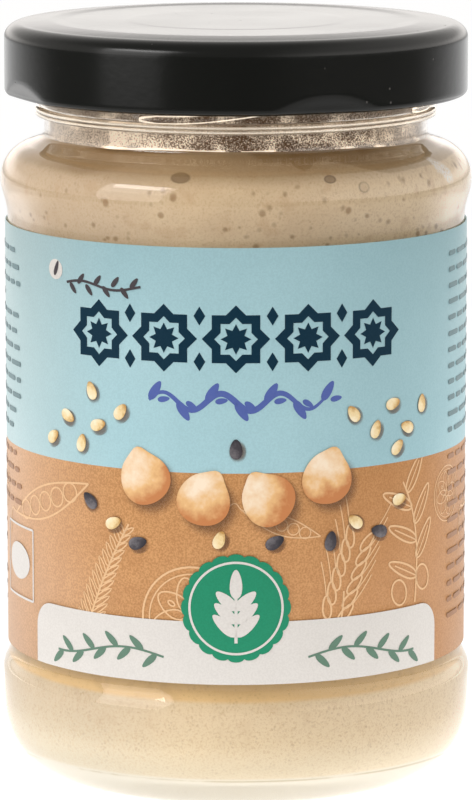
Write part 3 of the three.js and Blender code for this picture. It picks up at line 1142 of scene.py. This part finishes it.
# Under the stars runs a violet vine with leaves, and a pale disc with a small dark twig stands
# above them on the left. All are plain inks on the blue field.
VIOLET = colour(84, 102, 170)
VINE_HALF = 0.0112
VINE_V = 0.0363
VINE_WAVES = 3
VINE_RISE = 0.0011
VINE_LEAN = radians(58)
DISC_U = -0.026
DISC_V = 0.0517
TWIG_U = -0.0238
TWIG_V = DISC_V - 0.0014
TWIG_LONG = 0.0115
TWIG_LEAF_U = -0.0232
TWIG_LEAF_PITCH = 0.00135


def vine_path(t):
    return VINE_HALF * (2 * t - 1), VINE_RISE * sin(tau * VINE_WAVES * t)


vine = bmesh.new()
stroke(vine, at(0, VINE_V), vine_path, 0.00035, 60, 0.00045)
for i in range(2 * VINE_WAVES + 1):
    u, v = vine_path((i + 0.02) / (2 * VINE_WAVES + 0.04))
    turn = VINE_LEAN if i % 2 == 0 else -VINE_LEAN
    blot(vine, at(u, VINE_V + v, turn), 20, leaf(0.0028, 0.0014))
    blot(vine, at(u + 0.0011, VINE_V + v, turn * 0.35 - 0.2), 16, leaf(0.0016, 0.0009))
violet_ink = printed_paper("violet_ink", VIOLET, 0.08, colour(104, 116, 170), 0.12)
wrapped(vine, "violet_vine", 1, violet_ink)

disc = bmesh.new()
blot(disc, at(DISC_U, DISC_V), 28, oval(0.00135, 0.0013))
wrapped(disc, "pale_disc", 1, white_ink())


def twig_path(t):
    return TWIG_LONG * t, 0.0004 * sin(7 * t)


twig = bmesh.new()
blot(twig, at(DISC_U - 0.0002, DISC_V - 0.0008, 1.2), 16, leaf(0.0021, 0.0008))
stroke(twig, at(TWIG_U, TWIG_V), twig_path, 0.00032, 24)
for i in range(8):
    turn = 0.9 if i % 2 else -0.9
    blot(twig, at(TWIG_LEAF_U + TWIG_LEAF_PITCH * i, TWIG_V, turn), 14, leaf(0.0017, 0.0008))
wrapped(twig, "dark_twig", 2, printed_paper("dark_ink", colour(66, 62, 68), 0.05))

# Peas and sesame seeds are printed like a photograph, each with a soft shadow under it. Each row
# gives a motif's u, its v and how far it is turned; the sprays lie on either side of the front.
PEAS = [
    (-0.0118, 0.0262, 0.25), (-0.0041, 0.0238, -0.5), (0.0041, 0.0238, 0.55),
    (0.0118, 0.0262, -0.3),
]
PEA_R = 0.0035
PALE_SEEDS = [
    (-0.0152, 0.0345, 0.9), (-0.0186, 0.0325, 0.3), (-0.0213, 0.0299, 1.3),
    (-0.0237, 0.0331, -0.4), (-0.0266, 0.0301, 0.6), (-0.0196, 0.0368, 1.9),
    (0.0155, 0.0342, 2.2), (0.0189, 0.0319, 1.2), (0.0217, 0.0349, 0.2), (0.0243, 0.0316, 2.8),
    (0.0272, 0.0343, 1.5), (0.0225, 0.0292, 0.7),
    (-0.0163, 0.0201, 0.4), (0.0158, 0.0203, 2.5), (-0.0021, 0.0187, 1.2), (0.0229, 0.0224, 0.1),
]
DARK_SEEDS = [
    (-0.0199, 0.0226, 2.4), (-0.0128, 0.0178, 0.3), (0.0123, 0.0181, 1.4), (0.0195, 0.0187, 2.9),
    (0.0, 0.0303, 1.57), (0.0049, 0.0183, 0.5),
]
DARK_SEED_SIZE = 1.08
SEED_LONG = 0.0024
SEED_R = SEED_LONG / 2
SEED_WIDE = 0.00155
PEA_SHADE = (0.0007, -0.0009)
SEED_SHADE = (0.00022, -0.00028)


def pea(angle):
    """The outline of a chickpea with its small beak."""
    beak = 0.2 * exp(-(((angle - pi / 2) / 0.3) ** 2))
    return polar(PEA_R * (0.97 + 0.03 * cos(3 * angle + 0.6) + beak), angle)


def seed(angle):
    """The outline of a sesame seed, pointed at one end."""
    along, side = leaf(SEED_LONG, SEED_WIDE * 1.16)(angle)
    return along - SEED_R, side


def printed_ball(name, size, dark, middle, light):
    """A picture of a round thing lit from the upper left, on the patch's own flat map."""
    wire = new_finish(name)
    flat = wire.flat()
    lit = flat.measured("DOT_PRODUCT", (-0.6, 0.8, 0))
    edge = flat.measured("LENGTH")
    wrinkle = wire.here().grain(1.6 / size, 3, 0.65)
    shade = lit / size * 0.42 - (edge / size) ** 4 * 0.25 + (wrinkle - 0.5) * 0.8 + 0.56
    base = ((shade - 0.18) / 0.32).tint(dark, middle)
    base = ((shade - 0.5) / 0.35).tint(base, light)
    return coated(wire, base, 0.45, Specular_IOR_Level=0.35)


def soft_shadow():
    """A printed shadow that fades out towards its edge."""
    wire = new_finish("soft_shadow")
    alpha = wire.flat().measured("LENGTH").until(0.55, 1.0) * 0.55
    return coated(wire, colour(108, 74, 48), 0.5, Alpha=alpha)


shadows, peas = bmesh.new(), bmesh.new()
pale_seeds, dark_seeds = bmesh.new(), bmesh.new()
for u, v, turn in PEAS:
    blot(peas, at(u, v, turn), 48, pea)
    blot(shadows, at(u + PEA_SHADE[0], v + PEA_SHADE[1], 0, PEA_R * 1.2), 32, oval(1, 1))
for seeds, size, rows in ((pale_seeds, 1.0, PALE_SEEDS), (dark_seeds, DARK_SEED_SIZE, DARK_SEEDS)):
    for u, v, turn in rows:
        blot(seeds, at(u, v, turn, size), 18, seed)
        shade_place = at(u + SEED_SHADE[0], v + SEED_SHADE[1], turn, SEED_LONG * 0.62)
        blot(shadows, shade_place, 20, oval(1, 0.72))
wrapped(shadows, "seed_shadows", 3, soft_shadow())
wrapped(peas, "printed_peas", 4, printed_ball(
    "pea_picture", PEA_R, colour(198, 128, 76), colour(234, 188, 130), colour(250, 230, 204)
))
wrapped(pale_seeds, "pale_seeds", 4, printed_ball(
    "sesame_picture", SEED_R, colour(196, 150, 84), colour(240, 214, 160), colour(252, 238, 206)
))
wrapped(dark_seeds, "dark_seeds", 4, printed_ball(
    "dark_seed_picture", SEED_R, colour(40, 38, 46), colour(66, 62, 68), colour(120, 116, 120)
))

# Fine print fills the sides and the back as rows of plain dashes, and a thin frame with a blank
# oval stands at the left of the front. Each paragraph is given by its left and right edge.
PARAGRAPHS = [(-0.0565, -0.0352), (0.0342, 0.0575), (-0.0865, -0.0615), (0.0625, 0.0865)]
ROW_PITCH = 0.0021
ROW_HEIGHT = 0.0007
WORD_SHORT = 0.0014
WORD_LONG = 0.0046
WORD_GAP = 0.0007
FRAME_U = -0.0364
FRAME_V = 0.0122
FRAME_HALF = 0.0047
FRAME_CLEAR = 0.007
FRAME_CLEAR_TOP = FRAME_V + 0.0068


def dash(long):
    """The outline of a dash with round ends."""
    def outline(angle):
        end = copysign(max(0, long / 2 - ROW_HEIGHT / 2), cos(angle))
        return end + ROW_HEIGHT / 2 * cos(angle), ROW_HEIGHT / 2 * sin(angle)

    return outline


random.seed(7)
for name, foot, top, ink in (
    ("fine_print_low", 0.0035, 0.0262, colour(160, 114, 78)),
    ("fine_print_high", 0.0292, 0.0528, colour(92, 124, 130)),
):
    dashes = bmesh.new()
    for left, right in PARAGRAPHS:
        v = top
        while v > foot:
            u = left
            row_end = right - random.choice([0, 0, 0.002, 0.009])
            while u < row_end - 0.001:
                long = min(random.uniform(WORD_SHORT, WORD_LONG), row_end - u)
                beside_frame = u < FRAME_U + FRAME_CLEAR and u + long > FRAME_U - FRAME_CLEAR
                if not (beside_frame and v < FRAME_CLEAR_TOP):
                    blot(dashes, at(u + long / 2, v), 12, dash(long))
                u += long + WORD_GAP
            v -= ROW_PITCH
    wrapped(dashes, name, 2, printed_paper(name + "_ink", ink, 0.04))

frame_lines = bmesh.new()
blot(frame_lines, at(FRAME_U, FRAME_V), 40, oval(0.0037, 0.0024))
for i in range(4):
    side = at(FRAME_U, FRAME_V, i * pi / 2)
    stroke(frame_lines, side, lambda t: (FRAME_HALF * (2 * t - 1), FRAME_HALF), 0.0003, 2)
wrapped(frame_lines, "side_frame", 2, white_ink())

# The jar stands on a pale card that glows white behind it, like the lit backdrop of a product
# picture. In the strip under and behind the jar the card's own glow takes the place of the light
# that it throws back.
FLOOR_HALF = 4
FLOOR_DULL = 0.22
FLOOR_PALE = 0.84
GLOW_FULL = 3.0


def grey(level):
    """A grey for a shader's socket."""
    return (level, level, level, 1)


def pale_floor():
    """White card that glows behind the jar, in bands further back on either side, faintly near the
    jar and more on its right, and round the jar's foot, where the glow is painted light that fills
    the jar's shadow.
    """
    wire = new_finish("pale_floor")
    east, north, _ = wire.here().parts()
    beside = abs(east)
    away = (beside * beside + north * north) ** 0.5
    slant = north / away
    strip = beside.until(0.1, 0.2) * north.between(-0.12, -0.06)
    table = away.until(0.28, 0.42)
    rightward = 0.25 + 0.75 * (east / away).between(-0.4, 0.7)
    backward = slant.between(0.15, 0.97) * (1.15 - strip * 0.4)
    # The glow in bands further back on either side lights the jar's sides, as lamps would.
    back_side_glow = slant.band(0.1, 0.4, 0.6, 0.85) * away.band(0.12, 0.25, 0.6, 0.9)
    glow = wire.maths("MAXIMUM", backward, strip * 0.84) * (1 - away.between(1.3, 1.7) * 0.5)
    # Painted light: the glow round the jar's foot fills the jar's own shadow there.
    glow = glow + table * rightward * 0.1 + away.until(0.045, 0.075) * 0.5 + back_side_glow * 0.8
    base = (table * (1 - strip)).tint(grey(FLOOR_DULL), grey(FLOOR_PALE))
    glow = (glow / GLOW_FULL).tint(BLACK, grey(GLOW_FULL))
    return coated(
        wire, base, 0.6, Specular_IOR_Level=0.0, Emission_Color=glow, Emission_Strength=1.0
    )


floor = bmesh.new()
bmesh.ops.create_grid(floor, x_segments=4, y_segments=4, size=FLOOR_HALF)
shaped(floor, "floor", [pale_floor()])

# Most of the light comes from a bright room all round the jar. It is brightest behind the jar and
# at its sides, and a little warm.
ROOM_TONE = (1.0, 0.965, 0.93, 1)

world = bpy.data.worlds.new("studio")
bpy.context.scene.world = world
world.use_nodes = True
wire = Wire(world.node_tree)
across, back, up = wire.node("TexCoord", output=0).parts()
back = back.between(0.15, 0.97)
low, high = up.band(-0.02, 0.07, 0.14, 0.27), up.between(0.35, 0.8)
sides = across.between(0.1, 0.8) * (1.4 - up.between(0.1, 0.6) * 0.7)
sides = sides + (0 - across).between(0.6, 0.95) * 0.4
bright = 0.42 + high * back * 0.3 + sides * (1 - back) + back * (0.54 - high * 0.5)
bright = bright + back * low * 0.95
sky = world.node_tree.nodes["Background"]
sky.inputs["Color"].default_value = ROOM_TONE
world.node_tree.links.new(bright.socket, sky.inputs["Strength"])

# Three soft lamps stand one before another on the left, each smaller and higher than the last, so
# that their reflection is brightest at its top. Each row gives a place, a width, a height and a
# radiance.
LAMP_AIM = Vector((0, 0, 0.05))
LAMP_TONE = (1.0, 0.985, 0.975)
LAMPS = [
    ("left_softbox", (-0.775, -0.584, 0.38), 0.62, 0.9, 1.8),
    ("left_strip", (-0.74, -0.56, 0.62), 0.6, 0.46, 1.0),
    ("left_core", (-0.73, -0.55, 0.76), 0.5, 0.2, 6.0),
]
for name, place, width, height, radiance in LAMPS:
    lamp = bpy.data.lights.new(name, "AREA")
    lamp.shape = "RECTANGLE"
    lamp.size, lamp.size_y = width, height
    lamp.energy = radiance * pi * width * height
    lamp.color = LAMP_TONE
    holder = shown(name, lamp)
    holder.location = place
    holder.rotation_euler = (LAMP_AIM - Vector(place)).to_track_quat("-Z", "Y").to_euler()

# The camera has a long lens, so that the jar is drawn nearly without perspective. It stands in
# front of the jar and a little above it, tilted down.
LENS_FILM = 36
PICTURE_HIGH = 800
FOCAL_PIXELS = 4852
CAMERA_FAR = 0.6302
CAMERA_HIGH = 0.1552
CAMERA_DOWN = radians(9.62)

lens = bpy.data.cameras.new("camera")
lens.sensor_width = LENS_FILM
lens.lens = FOCAL_PIXELS / PICTURE_HIGH * LENS_FILM
lens.clip_start, lens.clip_end = 0.05, 20
camera = shown("camera", lens)
camera.location = (0, -CAMERA_FAR, CAMERA_HIGH)
camera.rotation_euler = (pi / 2 - CAMERA_DOWN, 0, 0)
bpy.context.scene.camera = camera
bpy.context.scene.view_settings.view_transform = "Standard"
